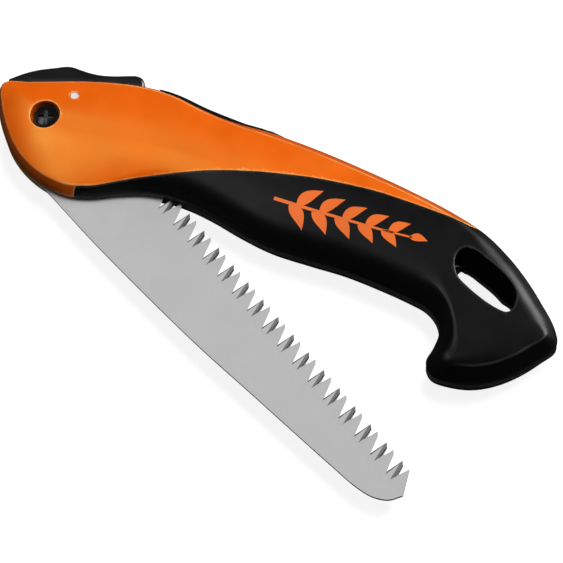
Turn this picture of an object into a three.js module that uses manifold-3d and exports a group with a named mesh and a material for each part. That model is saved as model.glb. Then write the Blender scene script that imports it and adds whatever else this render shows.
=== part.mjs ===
// Folding pruning saw with a hooked pistol grip, lying flat on one side face.
// Working frame, in millimetres: +X runs along the grip from the pivot end to the
// hook, +Y towards the back of the handle, +Z across its thickness. The mid-plane
// of the blade is z = 0 until the whole group is set down on z = 0 at the end.
import * as THREE from "three";
import { mergeVertices } from "three/addons/utils/BufferGeometryUtils.js";
import Module from "manifold-3d";

const wasm = await Module();
wasm.setup();

// ---- driving dimensions ----
const HALF = 12.5; // half of the handle's thickness
const SLOT_HALF = 2.2; // half of the gap between the two shells
const LIP = 1.2; // straight edge beside the gap, before the side wall leans in
const GAP = 0.3; // clearance between pieces that touch
const PIVOT = [1.2, -1.1];
const BLADE_HALF = 0.8;
const BLADE_ANGLE = -23.5; // direction of the tooth line in the half-open pose, degrees
const TOOTH_PAIR = 9.72; // two teeth, ground on opposite sides
const TOOTH_PAIRS = 17;
const FIRST_TIP = 49.3; // from the pivot, along the tooth line
const TOOTH_LINE = 20.6; // from the pivot, across the blade
const LEVER_HALF = 6;
const LEVER_PIN = [7.4, 12.2];
const CATCH = [0.4, 18.7];
const STOP = [26.4, 10.05];
const RECESS_R = 6.2;
const RECESS_FLOOR = 6.6;
const CORE_TOP = 7.5; // the orange shell runs on under the black grip up to here
const RING = 96; // points round the handle

// ---- outlines ----
// The joint face of the handle, from the front corner down round the lobe, along
// the finger side, round the hook and home along the back.
const HANDLE = [
  [-24.8, 6.2], [-24.2, 1.2], [-21.2, -3.6], [-17.2, -8.9], [-12.2, -14],
  [-6.3, -18.9], [1, -22.9], [9, -25.4], [17, -26.3], [25, -25.6],
  [34, -22], [43.6, -15.8], [52, -11.3], [61, -8.2], [71, -6.9],
  [82, -7], [96, -8.2], [110, -8.4], [126, -6.2], [141, -3.8],
  [156, -2.8], [168, -2.6], [177, -3.2], [183, -6.2], [186.5, -11],
  [187.3, -17.5], [187.3, -24], [191.5, -27.8], [199.6, -27], [208, -23.8],
  [215.5, -18], [222, -10], [226.5, -2], [229.8, 5.6], [226, 11.6],
  [217, 18.7], [206, 26], [195, 31.6], [183, 35.9], [168, 38.2],
  [148, 39.2], [128, 39.2], [108, 38.6], [88.4, 37], [72, 34.8],
  [58, 33.9], [42, 33.9], [30, 31.8], [18, 27.8], [5, 22.2],
  [-6, 16.6], [-16, 11.2],
];
// The middle of the handle's broad face, from the pivot to the hook.
const SPINE = [
  [3, -1], [14, 1], [32, 6], [60, 12.5], [95, 15.5], [130, 17],
  [162, 16.5], [188, 14], [202, 8], [207, -2], [205, -11], [200, -16.5],
];
// Where the orange shell ends and the black grip begins.
const PARTING = [
  [27.6, -40], [27.6, -23.6], [34, -19], [41.6, -13.2], [49.2, -7.6],
  [57, -2.6], [64, 1.6], [72, 6.2], [81.6, 11], [91, 15.2],
  [102.4, 19.6], [114.2, 23.7], [126.2, 27], [138.4, 29.8], [147, 31],
  [158, 32.2], [169, 33.2], [178, 34.6], [186, 39],
];
const WAIST = 5.5; // how much the lanyard hole narrows
const HOLE = [
  [179, 19.5], [180.4, 23.2], [184, 24.3], [191.5, 22.9], [198, 21.1],
  [203.6, 18.5], [207.2, 15.3], [208.7, 11], [208.4, 7.6], [207, 6.1],
  [203.6, 5.9], [199.6, 6.3], [194.7, 7.3], [189.2, 8.9], [184, 11], [180.6, 14.4],
];
const LEVER = [
  [-22.4, 6.4], [-23.2, 8.8], [-19, 13.8], [-14.4, 18], [-8.5, 22.1],
  [-4.6, 24.7], [-2.2, 25.6], [1.5, 26], [5.6, 26.5], [10.4, 27.7],
  [15.7, 29.9], [20.8, 32.6], [23.6, 33.9], [26, 34.1], [28, 33],
  [29.8, 30.4], [29.8, 24], [27.5, 20.5], [21, 17.8], [15.5, 14.5],
  [12.4, 9.4], [8, 7.8], [4, 8.4], [0.5, 11], [-3, 13.2],
  [-8, 11.6], [-14, 8.6], [-20.6, 4.8],
];
// The room that the lever swings in.
const LEVER_ROOM = [
  [-34, -2], [-21, 3.9], [-14.2, 7.9], [-8.3, 10.9], [-3.2, 12.5],
  [0, 10.4], [3.6, 7.8], [8, 7], [12.9, 8.5], [16.2, 12],
  [21.9, 14.6], [28.8, 16.7], [32, 19.6], [33.6, 26], [33.6, 50],
  [-34, 50],
];
// The plate between the shells: slot roof below, back of the handle above.
const BACKBONE_ROOF = [
  [18.6, 12.6], [31.2, 12.6], [34.5, 11.4], [46, 13], [49.5, 15.4],
  [56, 15], [212, -4.6], [221.4, -5], [220.6, -11.2],
];
const BACKBONE_FRONT = [
  [34.2, 33.2], [34, 22], [33.2, 18.4], [28, 15.7], [21, 13.9],
];

// ---- helpers ----
const v2 = ([x, y]) => new THREE.Vector2(x, y);

function smooth(points, count, closed) {
  const path = points.map(([x, y]) => new THREE.Vector3(x, y, 0));
  const curve = new THREE.CatmullRomCurve3(path, closed, "centripetal");
  const sampled = curve.getSpacedPoints(count).map((p) => [p.x, p.y]);
  return closed ? sampled.slice(0, count) : sampled;
}

function solid(geometry) {
  const bare = geometry.clone();
  bare.deleteAttribute("normal");
  bare.deleteAttribute("uv");
  const merged = mergeVertices(bare, 1e-4);
  const mesh = new wasm.Mesh({
    numProp: 3,
    vertProperties: new Float32Array(merged.attributes.position.array),
    triVerts: new Uint32Array(merged.index.array),
  });
  return new wasm.Manifold(mesh);
}

function geometryOf(body) {
  const mesh = body.getMesh();
  const geometry = new THREE.BufferGeometry();
  const position = new THREE.BufferAttribute(new Float32Array(mesh.vertProperties), 3);
  geometry.setAttribute("position", position);
  geometry.setIndex(new THREE.BufferAttribute(new Uint32Array(mesh.triVerts), 1));
  const flat = geometry.toNonIndexed();
  flat.computeVertexNormals();
  return flat;
}

function prism(points, low, high) {
  const shape = new THREE.Shape(points.map(v2));
  const options = { depth: high - low, bevelEnabled: false };
  return solid(new THREE.ExtrudeGeometry(shape, options).translate(0, 0, low));
}

function disc([x, y], radius, low, high, sides = 32) {
  const bar = new THREE.CylinderGeometry(radius, radius, high - low, sides);
  return solid(bar.rotateX(Math.PI / 2).translate(x, y, (low + high) / 2));
}

function tube(centre, outer, inner, low, high) {
  return disc(centre, outer, low, high).subtract(disc(centre, inner, low - 1, high + 1));
}

// A closed body through rings of equal length, lowest first, each one a list of [x, y, z].
function loft(rings) {
  const count = rings[0].length;
  const position = rings.flat(2);
  const index = [];
  for (let r = 0; r + 1 < rings.length; r++)
    for (let i = 0; i < count; i++) {
      const a = r * count + i;
      const b = r * count + ((i + 1) % count);
      index.push(a, b, a + count, b, b + count, a + count);
    }
  const cap = (ring) => THREE.ShapeUtils.triangulateShape(ring.map(v2), []);
  const top = (rings.length - 1) * count;
  for (const [a, b, c] of cap(rings[0])) index.push(a, c, b);
  for (const [a, b, c] of cap(rings.at(-1))) index.push(top + a, top + b, top + c);
  const geometry = new THREE.BufferGeometry();
  geometry.setAttribute("position", new THREE.Float32BufferAttribute(position, 3));
  geometry.setIndex(index);
  return solid(geometry.toNonIndexed());
}

const flip = (body) => body.mirror([0, 0, 1]);
const ramp = (value, from, to) => THREE.MathUtils.smoothstep(value, from, to);

// ---- handle form ----
const outline = smooth(HANDLE, RING, true);
const spine = smooth(SPINE, 120, false);

function nearestOnSpine([x, y]) {
  const distance = ([sx, sy]) => Math.hypot(sx - x, sy - y);
  return spine.reduce((best, p) => (distance(p) < distance(best) ? p : best));
}

// Each outline point's partner in the middle of the face, evened out round the ring.
function partners() {
  let line = outline.map(nearestOnSpine);
  for (let pass = 0; pass < 4; pass++)
    line = line.map((p, i) => {
      const before = line.at(i - 1);
      const after = line[(i + 1) % line.length];
      return [0, 1].map((k) => (before[k] + 2 * p[k] + after[k]) / 4);
    });
  return line;
}
const middle = partners();

// The outline moved towards the middle by a length, then on by a share of the crown.
function inset(length, share = 0) {
  return outline.map(([x, y], i) => {
    const [mx, my] = middle[i];
    const way = Math.hypot(mx - x, my - y);
    const move = length(x) + share * crownShare(x) * (way - length(x));
    return [x + ((mx - x) * move) / way, y + ((my - y) * move) / way];
  });
}

// How far the side wall leans in before the rim, how high the rim is, and the share of
// the broad face that is still rising inside the rim.
const lean = (x) => 2.4 + 1.7 * ramp(x, 10, 80) + 0.7 * ramp(x, 150, 200);
const rimHeight = (x) => 8.6 + 1.2 * ramp(x, 0, 70) + 1.7 * ramp(x, 120, 200);
const crownShare = (x) => 0.68 - 0.22 * ramp(x, 20, 110) - 0.08 * ramp(x, 150, 200);
const at = (ring, height) => ring.map(([x, y]) => [x, y, height(x, y)]);
const level = (z) => () => z;

function halfBody() {
  const crown = (share) => (x) => HALF - (HALF - rimHeight(x)) * (1 - share) ** 2;
  const crownRing = (share) => at(inset(lean, share), crown(share));
  return loft([
    at(outline, level(SLOT_HALF)),
    at(outline, level(SLOT_HALF + LIP)),
    at(inset(lean), rimHeight),
    crownRing(0.22),
    crownRing(0.45),
    crownRing(0.7),
    at(inset(lean, 1), level(HALF)),
  ]);
}

// The hard core that the black grip is moulded over; grow makes room round it.
function coreBody(grow) {
  const edge = () => 3.4 - grow;
  const shoulder = () => 6 - grow;
  return loft([
    at(inset(edge), level(SLOT_HALF - grow)),
    at(inset(shoulder), level(CORE_TOP + grow)),
  ]);
}

function gripSide(shift) {
  const line = smooth(PARTING, 40, false).map(([x, y]) => [x + shift, y - shift]);
  return prism([...line, [186, 60], [260, 60], [260, -40]], 0, HALF + 1);
}

const SCREWS = [
  { at: [44, 24], seat: 9.6 },
  { at: [97, 27.5], seat: 9.6 },
  { at: [146, 23], seat: CORE_TOP },
  { at: [216.5, 3], seat: CORE_TOP },
];
const SCREW_HEAD = { radius: 3.1, height: 2 };

function wider(points, grow) {
  const centre = points.reduce(([a, b], [x, y]) => [a + x / points.length, b + y / points.length], [0, 0]);
  return points.map(([x, y]) => {
    const reach = Math.hypot(x - centre[0], y - centre[1]);
    const scale = (reach + grow) / reach;
    return [centre[0] + (x - centre[0]) * scale, centre[1] + (y - centre[1]) * scale];
  });
}

const holeLine = smooth(HOLE, 36, true);
const lanyardHole = (grow) => prism(wider(holeLine, grow), -HALF - 1, HALF + 1);
const leverRoom = () => prism(LEVER_ROOM, -LEVER_HALF - 0.4, LEVER_HALF + 0.4);

// The orange shell of the upper side, before the bores that differ side to side.
function shellBlank() {
  const body = halfBody().subtract(gripSide(0));
  const core = coreBody(0).intersect(gripSide(-1)).subtract(lanyardHole(2.5));
  return body.add(core).subtract(leverRoom()).subtract(disc(PIVOT, 2.9, 0, HALF));
}

function gripBlank() {
  return halfBody()
    .intersect(gripSide(GAP))
    .subtract(coreBody(GAP))
    .subtract(lanyardHole(0));
}

function boreForPins(body) {
  return body
    .subtract(disc(LEVER_PIN, 1.9, 0, HALF + 1, 20))
    .subtract(disc(STOP, 2.3, 0, 8.3, 20));
}

function upperShell() {
  let body = boreForPins(shellBlank());
  body = body.subtract(disc(PIVOT, RECESS_R, RECESS_FLOOR, HALF + 1, 40));
  for (const screw of SCREWS) body = body.subtract(disc(screw.at, 1.8, 0, 6.8, 16));
  return body;
}

function lowerShell() {
  let body = boreForPins(shellBlank());
  body = body.subtract(disc(PIVOT, RECESS_R, 10.6, HALF + 1, 40));
  body = body.subtract(disc(PIVOT, 5.1, 6.4, HALF + 1, 6));
  for (const screw of SCREWS) {
    body = body.subtract(disc(screw.at, 1.8, 0, HALF + 1, 16));
    body = body.subtract(disc(screw.at, SCREW_HEAD.radius + 0.4, screw.seat, HALF + 1, 24));
  }
  return flip(body);
}

function lowerGrip() {
  let body = gripBlank();
  for (const screw of SCREWS)
    body = body.subtract(disc(screw.at, SCREW_HEAD.radius + 0.4, 0, HALF + 1, 24));
  return flip(body);
}

// The lanyard hole narrows towards the mid-plane from its upper side.
function waist([x, y]) {
  const lower = Math.max(6.2, 10.9 - 0.28 * (x - 183.7));
  const up = Math.min(Math.max((y - lower) / 13, 0), 1);
  return [x, y - WAIST * up * up];
}

function backbone() {
  const [fromX, fromY] = BACKBONE_ROOF.at(-1);
  const [toX, toY] = BACKBONE_FRONT[0];
  const near = (x, y) => (p) => Math.hypot(p[0] - x, p[1] - y);
  const closest = (measure) =>
    outline.reduce((best, p, i) => (measure(p) < measure(outline[best]) ? i : best), 0);
  const start = closest(near(fromX, fromY)) + 1;
  const end = closest(near(toX, toY));
  const line = [...BACKBONE_ROOF, ...outline.slice(start, end), ...BACKBONE_FRONT];
  let body = prism(line, -SLOT_HALF + GAP, SLOT_HALF - GAP);
  body = body.subtract(prism(holeLine.map(waist), -3, 3));
  for (const screw of SCREWS) body = body.subtract(disc(screw.at, 1.8, -3, 3, 16));
  return body;
}

// ---- blade, drawn along its tooth line and then turned to the half-open pose ----
const TANG_R = 11.4;

function arc(radius, from, to, steps) {
  const points = [];
  for (let i = 0; i <= steps; i++) {
    const a = THREE.MathUtils.degToRad(from + ((to - from) * i) / steps);
    points.push([radius * Math.cos(a), radius * Math.sin(a)]);
  }
  return points;
}

function bladeOutline() {
  const teeth = [];
  for (let pair = 0; pair < TOOTH_PAIRS; pair++) {
    const tip = FIRST_TIP + pair * TOOTH_PAIR;
    const along = (x, depth) => [tip + x, TOOTH_LINE - depth];
    teeth.push(along(-0.9, 8.2), along(0, 0), along(1.6, 1), along(3.3, 4.8));
    if (pair + 1 < TOOTH_PAIRS) teeth.push(along(4.1, 0), along(5.8, 1));
  }
  const spineEdge = smooth(
    [[215.7, 12.2], [213.4, 6.8], [208.6, 2.9], [201.5, 0.5], [188, -1.6],
      [166, -4.6], [144.2, -7.5], [117.7, -11.1], [84, -14.4], [52, -16.8], [27.8, -17.8]],
    26,
    false,
  );
  const root = [[22, -18.2], [14, -19.3], [6.4, -19.5], [2.2, -19.3]];
  const notch = arc(16.2, -88, -120, 6);
  const heel = arc(17.4, -121, -127, 2);
  const tang = arc(TANG_R, -129, -265, 14);
  const choil = [[20, 11.2], [FIRST_TIP - 3.5, 15.6]];
  const lastTip = [209.1, TOOTH_LINE];
  const heelEdge = [...root, ...notch, ...heel, ...tang];
  return [...choil, ...teeth, lastTip, ...spineEdge, ...heelEdge];
}

function blade() {
  const line = bladeOutline().reverse();
  return prism(line, -BLADE_HALF, BLADE_HALF)
    .subtract(disc([0, 0], 5.25, -2, 2, 36))
    .rotate([0, 0, BLADE_ANGLE])
    .translate([...PIVOT, 0]);
}

// ---- pivot hardware ----
const washer = () => tube(PIVOT, 8.2, 5.4, 1.05, 1.95);

function pivotScrew() {
  const half = Math.PI / 2;
  const steps = 6;
  const crown = [];
  for (let i = 0; i <= steps; i++) {
    const a = half * (i / steps);
    crown.push(new THREE.Vector2(5.2 * Math.cos(a), 9 + 1.5 * Math.sin(a)));
  }
  const profile = [[0, -10.9], [2.2, -10.9], [2.55, -10.5], [2.55, 7.7], [5.2, 7.7]].map(v2);
  const turned = new THREE.LatheGeometry([...profile, ...crown], 32);
  const [x, y] = PIVOT;
  let body = solid(turned.rotateX(half).translate(x, y, 0));
  for (const turn of [28, 118]) {
    const wing = solid(new THREE.BoxGeometry(5.6, 1.1, 4)).rotate([0, 0, turn]);
    body = body.subtract(wing.translate([x, y, 10.6]));
  }
  return body;
}

function pivotNut() {
  return disc(PIVOT, 4.75, -10.3, -6.7, 6).subtract(disc(PIVOT, 2.7, -12, -5, 24));
}

function caseScrew({ at: place, seat }) {
  const head = disc(place, SCREW_HEAD.radius, -seat - SCREW_HEAD.height, -seat - 0.2, 24);
  const shank = disc(place, 1.5, -seat - 0.4, 6.4, 14);
  let body = head.add(shank);
  for (const turn of [0, 60, 120]) {
    const wing = solid(new THREE.BoxGeometry(2.6, 0.9, 2)).rotate([0, 0, turn]);
    body = body.subtract(wing.translate([...place, -seat - SCREW_HEAD.height]));
  }
  return body;
}

// ---- lock lever ----
const SPRING_AT = [21.4, 0];
const SPRING_FOOT = 14.6;
const SPRING_HEAD = 22.2;

// The slit that straddles the tang and runs out through the lever's front end.
const FORK = [
  [-30, -5], [12.8, -5], [12.8, 16.6], [8.6, 18.8], [1.2, 20.2],
  [-6, 18.9], [-12, 15.7], [-19.6, 11.6], [-30, 5.6],
];

function leverBody() {
  const body = prism([...LEVER].reverse(), -LEVER_HALF, LEVER_HALF);
  const fork = prism(FORK, -1.4, 1.4);
  const springWell = solid(new THREE.CylinderGeometry(2.6, 2.6, 16, 20));
  return body
    .subtract(fork)
    .subtract(springWell.translate([SPRING_AT[0], SPRING_HEAD + GAP - 8, 0]))
    .subtract(disc(LEVER_PIN, 1.95, -9, 9, 20))
    .subtract(disc(CATCH, 2.25, -4.6, 4.6, 20));
}

function spring() {
  const turns = 5;
  const wire = 0.32;
  const radius = 1.75;
  const height = SPRING_HEAD - SPRING_FOOT - 2 * wire;
  const points = [];
  for (let i = 0; i <= turns * 10; i++) {
    const a = (i / 10) * 2 * Math.PI;
    const y = SPRING_FOOT + wire + (height * i) / (turns * 10);
    points.push(new THREE.Vector3(SPRING_AT[0] + radius * Math.cos(a), y, radius * Math.sin(a)));
  }
  const path = new THREE.CatmullRomCurve3(points);
  const section = new THREE.Shape(arc(wire, 0, 300, 5).map(v2));
  const options = { steps: turns * 12, bevelEnabled: false, extrudePath: path };
  return solid(new THREE.ExtrudeGeometry(section, options));
}

// ---- assembly ----
const finish = (color, roughness, metalness) =>
  new THREE.MeshStandardMaterial({ color, roughness, metalness });
const orange = finish(0xef7312, 0.4, 0);
const rubber = finish(0x141416, 0.55, 0);
const plastic = finish(0x222325, 0.45, 0);
const bladeSteel = finish(0xb9babc, 0.35, 0.9);
const brightSteel = finish(0xc6cacf, 0.25, 1);
const blackSteel = finish(0x1b1b1d, 0.35, 0.8);
const acetal = finish(0xd8d6cf, 0.5, 0);

const saw = new THREE.Group();
saw.name = "folding_pruning_saw";

function place(name, body, material) {
  const mesh = new THREE.Mesh(geometryOf(body), material);
  mesh.name = name;
  saw.add(mesh);
}

place("upper_shell", upperShell(), orange);
place("lower_shell", lowerShell(), orange);
place("upper_grip", gripBlank(), rubber);
place("lower_grip", lowerGrip(), rubber);
place("backbone", backbone(), plastic);
place("saw_blade", blade(), bladeSteel);
place("pivot_sleeve", tube(PIVOT, 5, 2.85, -1.95, 1.95), brightSteel);
place("upper_washer", washer(), acetal);
place("lower_washer", flip(washer()), acetal);
place("pivot_screw", pivotScrew(), blackSteel);
place("screw_washer", tube(PIVOT, 5.6, 2.8, 6.8, 7.5), brightSteel);
place("pivot_nut", pivotNut(), blackSteel);
place("stop_pin", disc(STOP, 2, -8, 8, 20), brightSteel);
place("lock_lever", leverBody(), plastic);
place("catch_pin", disc(CATCH, 2, -4.4, 4.4, 20), brightSteel);
place("lever_pin", disc(LEVER_PIN, 1.65, -10.6, 10.6, 20), brightSteel);
place("lever_spring", spring(), brightSteel);
SCREWS.forEach((screw, i) => place("case_screw_" + (i + 1), caseScrew(screw), blackSteel));

const box = new THREE.Box3().setFromObject(saw);
const centre = box.getCenter(new THREE.Vector3());
saw.position.set(-centre.x, -centre.y, -box.min.z);

export default saw;
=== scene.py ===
import bpy
import bmesh
import math
from mathutils import Matrix, Vector
from mathutils.bvhtree import BVHTree
from mathutils.kdtree import KDTree


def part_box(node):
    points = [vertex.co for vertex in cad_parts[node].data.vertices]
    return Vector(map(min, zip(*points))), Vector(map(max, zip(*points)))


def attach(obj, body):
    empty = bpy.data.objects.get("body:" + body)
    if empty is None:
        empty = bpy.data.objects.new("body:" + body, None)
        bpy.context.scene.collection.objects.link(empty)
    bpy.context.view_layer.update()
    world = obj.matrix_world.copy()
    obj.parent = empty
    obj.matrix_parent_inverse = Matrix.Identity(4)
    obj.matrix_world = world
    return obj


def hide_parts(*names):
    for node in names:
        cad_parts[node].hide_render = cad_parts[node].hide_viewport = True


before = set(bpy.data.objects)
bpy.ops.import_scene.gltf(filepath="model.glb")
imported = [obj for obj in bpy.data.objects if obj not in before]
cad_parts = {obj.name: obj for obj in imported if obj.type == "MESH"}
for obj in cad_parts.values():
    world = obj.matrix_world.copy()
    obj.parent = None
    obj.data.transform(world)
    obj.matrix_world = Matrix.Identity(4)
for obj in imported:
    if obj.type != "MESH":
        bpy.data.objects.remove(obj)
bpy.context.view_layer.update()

# ---------------------------------------------------------------- the saw's own frame
# Drawn in millimetres with the blade's mid-plane at z = 0, then shifted to the frame.
MM = 0.001
PIVOT = (1.2, -1.1)
HALF = 12.5  # half the handle's thickness
SLOT_HALF = 2.2  # half the blade slot's width
BLADE_HALF = 0.8  # half the blade's thickness
BLADE_ANGLE = math.radians(-23.5)  # the blade's own x axis at rest, about the pivot
LEVER_PIN = (7.4, 12.2)
LEVER_PIN_HOLE_R = 1.85
LEVER_PIN_HOLE_FLOOR = 6.4
RECESS_R = 6.2  # the round recess over the pivot screw
RECESS_FLOOR = 6.6
SHANK_HOLE_R = 2.9
LEVER_HALF = 6
LEVER_ROOM_HALF = LEVER_HALF + 0.4
# The case screws in the lower half: (place, how far the seat is from the mid-plane) pairs.
SHELL_SCREWS = [((44, 24), 9.6), ((97, 27.5), 9.6)]
GRIP_SCREWS = [((146, 23), 7.5), ((216.5, 3), 7.5)]
SCREW_WELL_R = 3.5
SCREW_HOLE_R = 1.6

low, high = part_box("pivot_sleeve")
MIDDLE = (Vector(low) + Vector(high)) / 2
SHIFT = Vector((MIDDLE.x / MM - PIVOT[0], MIDDLE.y / MM - PIVOT[1], MIDDLE.z / MM))


def metres(point):
    return (Vector(point) + SHIFT) * MM


def add_object(name, data):
    made = bpy.data.objects.new(name, data)
    bpy.context.collection.objects.link(made)
    return made


# ---------------------------------------------------------------- camera
CAMERA_PLACE = (333.2, -319.1, 875.5)
CAMERA_TARGET = (119.8, -18.3, 0)
CAMERA_ROLL = math.radians(-7.706)
CAMERA_LENS = 151.7


def make_camera():
    data = bpy.data.cameras.new("camera")
    camera = add_object("camera", data)
    place = metres(CAMERA_PLACE)
    look = (metres(CAMERA_TARGET) - place).normalized()
    facing = look.to_track_quat("-Z", "Y").to_matrix().to_4x4()
    roll = Matrix.Rotation(CAMERA_ROLL, 4, "Z")
    camera.matrix_world = Matrix.Translation(place) @ facing @ roll
    data.sensor_width = 36
    data.lens = CAMERA_LENS
    data.clip_end = 20
    bpy.context.scene.camera = camera


# ---------------------------------------------------------------- curves
def blend_step(value, low, high):
    """Rises smoothly from 0 at low to 1 at high."""
    t = min(max((value - low) / (high - low), 0), 1)
    return t * t * (3 - 2 * t)


def hermite(p0, p1, p2, p3, t):
    """One stretch of a centripetal Catmull-Rom curve, from p1 to p2."""
    d0 = max((p1 - p0).length ** 0.5, 1e-4)
    d1 = max((p2 - p1).length ** 0.5, 1e-4)
    d2 = max((p3 - p2).length ** 0.5, 1e-4)
    m1 = ((p1 - p0) / d0 - (p2 - p0) / (d0 + d1) + (p2 - p1) / d1) * d1
    m2 = ((p2 - p1) / d1 - (p3 - p1) / (d1 + d2) + (p3 - p2) / d2) * d1
    a = 2 * p1 - 2 * p2 + m1 + m2
    b = -3 * p1 + 3 * p2 - 2 * m1 - m2
    return p1 + m1 * t + b * t * t + a * t * t * t


def bezier(a, b, c, t):
    """A point on the curve from a to c that bends towards b."""
    return (1 - t) ** 2 * a + 2 * t * (1 - t) * b + t * t * c


def trace(points, closed, steps):
    """A smooth line through the points, with steps short pieces between each two."""
    points = [Vector(p) for p in points]
    count = len(points)
    out = []
    for i in range(count if closed else count - 1):
        p1, p2 = points[i], points[(i + 1) % count]
        p0 = points[i - 1] if closed or i else 2 * p1 - p2
        p3 = points[(i + 2) % count] if closed or i + 2 < count else 2 * p2 - p1
        out += [hermite(p0, p1, p2, p3, k / steps) for k in range(steps)]
    return out if closed else out + [points[-1]]


def flat(points):
    """The (x, y) pairs as points of the mid-plane."""
    return [Vector((x, y, 0)) for x, y in points]


def even(line, closed, count):
    """The same line with its points evenly spaced."""
    ends = line + [line[0]] if closed else line
    run = [0]
    for a, b in zip(ends, ends[1:]):
        run.append(run[-1] + (b - a).length)
    out, k = [], 0
    for i in range(count if closed else count + 1):
        want = run[-1] * i / count
        while k + 2 < len(run) and run[k + 1] < want:
            k += 1
        out.append(ends[k].lerp(ends[k + 1], (want - run[k]) / max(run[k + 1] - run[k], 1e-9)))
    return out


class Outline:
    """Signed distance to a closed flat line, positive inside it."""

    def __init__(self, line):
        self.line = [Vector(p[:2]) for p in line]
        self.tree = KDTree(len(self.line))
        for i, p in enumerate(self.line):
            self.tree.insert((p.x, p.y, 0), i)
        self.tree.balance()

    def inside(self, x, y):
        odd = False
        for a, b in zip(self.line, self.line[1:] + self.line[:1]):
            if (a.y > y) != (b.y > y) and x < a.x + (b.x - a.x) * (y - a.y) / (b.y - a.y):
                odd = not odd
        return odd

    def distance(self, x, y):
        here = Vector((x, y))
        _, i, _ = self.tree.find((x, y, 0))
        best = 1e9
        for k in (i - 1, i):
            a, b = self.line[k], self.line[(k + 1) % len(self.line)]
            t = min(max((here - a).dot(b - a) / max((b - a).length_squared, 1e-12), 0), 1)
            best = min(best, (here - a.lerp(b, t)).length)
        return best if self.inside(x, y) else -best


# ---------------------------------------------------------------- handle outlines
# The handle seen from above, from the front lobe under the grip to the hook and back.
HANDLE = [
    (-24.8, 6.2), (-24.2, 1.2), (-21.2, -3.6), (-17.2, -8.9), (-12.2, -14),
    (-6.3, -18.9), (1, -22.9), (9, -25.4), (17, -26.3), (25, -25.6),
    (34, -22), (43.6, -15.8), (52, -11.3), (61, -8.2), (71, -6.9),
    (82, -7), (96, -8.2), (110, -8.4), (126, -6.2), (141, -3.8),
    (156, -2.8), (168, -2.6), (177, -3.2), (183, -6.2), (186.5, -11),
    (187.3, -17.5), (187.3, -24), (191.5, -27.8), (199.6, -27), (208, -23.8),
    (215.5, -18), (222, -10), (226.5, -2), (229.8, 5.6), (226, 11.6),
    (217, 18.7), (206, 26), (195, 31.6), (183, 35.9), (168, 38.2),
    (148, 39.2), (128, 39.2), (108, 38.6), (88.4, 37), (72, 34.8),
    (58, 33.9), (42, 33.9), (30, 31.8), (18, 27.8), (5, 22.2),
    (-6, 16.6), (-16, 11.2),
]
# The middle of the broad face, from the pivot to the hook.
SPINE = [
    (3, -1), (14, 1), (32, 6), (60, 12.5), (95, 15.5), (130, 17),
    (162, 16.5), (188, 14), (202, 8), (207, -2), (205, -11), (200, -16.5),
]
# Where the orange shell ends and the black grip begins.
PARTING = [
    (27.4, -22.4), (34, -19), (41.6, -13.2), (49.2, -7.6),
    (57, -2.6), (64, 1.6), (72, 6.2), (81.6, 11), (91, 15.2),
    (102.4, 19.6), (114.2, 23.7), (126.2, 27), (138.4, 29.8), (147, 31),
    (158, 32.2), (169, 33.2), (178, 34.6), (186, 39),
]
# Closes the grip's side of the parting line, well outside the handle.
BEYOND_GRIP = [(186, 60), (260, 60), (260, -40), (27.4, -40)]
# The lanyard hole's edge on the broad face.
HOLE = [
    (179, 19.5), (180.4, 23.2), (184, 24.3), (191.5, 22.9), (198, 21.1),
    (203.6, 18.5), (207.2, 15.3), (208.7, 11), (208.4, 7.6), (207, 6.1),
    (203.6, 5.9), (199.6, 6.3), (194.7, 7.3), (189.2, 8.9), (184, 11), (180.6, 14.4),
]
WAIST = 5.5  # how far the hole's upper side comes in at the slot
# The room for the lever; the last two points close it outside the handle.
LEVER_ROOM = [
    (-34, -2), (-21, 3.9), (-14.2, 7.9), (-8.3, 10.9), (-3.2, 12.5),
    (0, 10.4), (3.6, 7.8), (8, 7), (12.9, 8.5), (16.2, 12),
    (21.9, 14.6), (28.8, 16.7), (32, 19.6), (33.6, 26), (33.6, 50), (-34, 50),
]

COARSE = 96  # outline points that have their own partner on the spine
FINE = 5  # outline points for each of those


def middle_partners(coarse):
    """For each point of the outline, its partner in the middle of the broad face."""
    spine = even(trace(flat(SPINE), False, 20), False, 120)
    line = [min(spine, key=lambda s: (s - p).length) for p in coarse]
    for _ in range(4):
        count = len(line)
        line = [(line[i - 1] + 2 * line[i] + line[(i + 1) % count]) / 4 for i in range(count)]
    return trace(line, True, FINE)


RIM_LINE = even(trace(flat(HANDLE), True, 40), True, COARSE * FINE)
PARTNERS = middle_partners(RIM_LINE[::FINE])
HOLE_LINE = even(trace(flat(HOLE), True, 20), True, 240)
GRIP_SIDE = Outline(even(trace(flat(PARTING), False, 20), False, 400) + flat(BEYOND_GRIP))
HANDLE_SHAPE = Outline(RIM_LINE)
HOLE_SHAPE = Outline(HOLE_LINE)
ROOM_SHAPE = Outline(flat(LEVER_ROOM))
WALL_FOOT = SLOT_HALF + 1.2  # the height at which the outer wall starts to lean in


def lean(x):
    """How far the outer wall leans in from the slot to the rim."""
    return 2.4 + 1.7 * blend_step(x, 10, 80) + 0.7 * blend_step(x, 150, 200)


def rim_height(x):
    """The height at which the outer wall meets the broad face."""
    return 8.6 + 1.2 * blend_step(x, 0, 70) + 1.7 * blend_step(x, 120, 200)


def crown_share(x):
    """How far towards the middle the broad face goes on rising."""
    return 0.86 - 0.1 * blend_step(x, 150, 200)


def rim_radius(x, y):
    """The edge is crisp round the front, along the back and under the hook, and soft elsewhere."""
    fingers = blend_step(x, 32, 62) * (1 - blend_step(x, 188, 200)) * (1 - blend_step(y, 4, 12))
    hook_back = blend_step(x, 168, 196) * blend_step(y, 4, 13)
    return 0.7 + 4.3 * fingers + 4.6 * hook_back


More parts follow.
